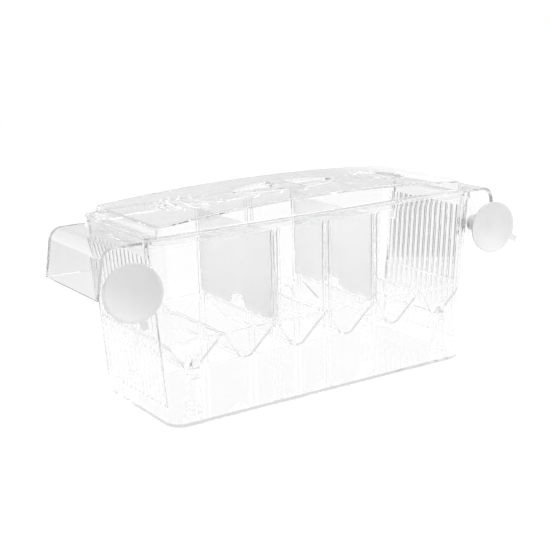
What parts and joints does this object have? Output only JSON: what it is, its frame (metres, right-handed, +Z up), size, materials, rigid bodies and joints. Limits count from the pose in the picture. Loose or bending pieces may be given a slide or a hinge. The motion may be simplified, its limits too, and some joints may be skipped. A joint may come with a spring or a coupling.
{
  "type": "breeding box",
  "caption": "Clear hang-on breeding box with slotted ends, a raised tray of V troughs, frosted partitions, a vented domed lid and soft suction cups.",
  "frame": {"origin": "middle of the underside of the tank", "axes": "+X along the box to the right lug, -Y towards the side the suction cups face, +Z up"},
  "size_m": [0.2526, 0.0861, 0.1047],
  "materials": {
    "clear_plastic": "clear polished styrene-like plastic",
    "frosted_plastic": "frosted translucent plastic",
    "soft_plastic": "milky soft vinyl"
  },
  "bodies": {
    "tank": {"tank": "clear_plastic"},
    "lid": {"lid": "clear_plastic"},
    "tray": {"v_tray": "clear_plastic", "tray_leg_front_left": "clear_plastic", "tray_leg_front_right": "clear_plastic", "tray_leg_back_left": "clear_plastic", "tray_leg_back_right": "clear_plastic"},
    "divider_left": {"divider_left": "frosted_plastic"},
    "divider_right": {"divider_right": "frosted_plastic"},
    "suction_cup_left": {"suction_cup_left": "soft_plastic"},
    "suction_cup_right": {"suction_cup_right": "soft_plastic"}
  },
  "joints": [
    {"name": "lid_lift", "type": "slide", "parent": "tank", "child": "lid", "axis": [0, 0, 1], "range_m": [0, 0.2]},
    {"name": "divider_left_lift", "type": "slide", "parent": "tank", "child": "divider_left", "axis": [0, 0, 1], "range_m": [0, 0.15]},
    {"name": "divider_right_lift", "type": "slide", "parent": "tank", "child": "divider_right", "axis": [0, 0, 1], "range_m": [0, 0.15]},
    {"name": "tray_lift", "type": "slide", "parent": "tank", "child": "tray", "axis": [0, 0, 1], "range_m": [0, 0.1]},
    {"name": "cup_left_spin", "type": "hinge", "parent": "tank", "child": "suction_cup_left", "pos_m": [-0.11018, -0.0294, 0.073], "axis": [0, 1, 0], "continuous": true},
    {"name": "cup_right_spin", "type": "hinge", "parent": "tank", "child": "suction_cup_right", "pos_m": [0.11018, -0.0294, 0.073], "axis": [0, 1, 0], "continuous": true}
  ],
  "couplings": [
    {"joint": "divider_left_lift", "follows": "lid_lift", "ratio": 0.75},
    {"joint": "divider_right_lift", "follows": "lid_lift", "ratio": 0.75},
    {"joint": "tray_lift", "follows": "lid_lift", "ratio": 0.5}
  ]
}
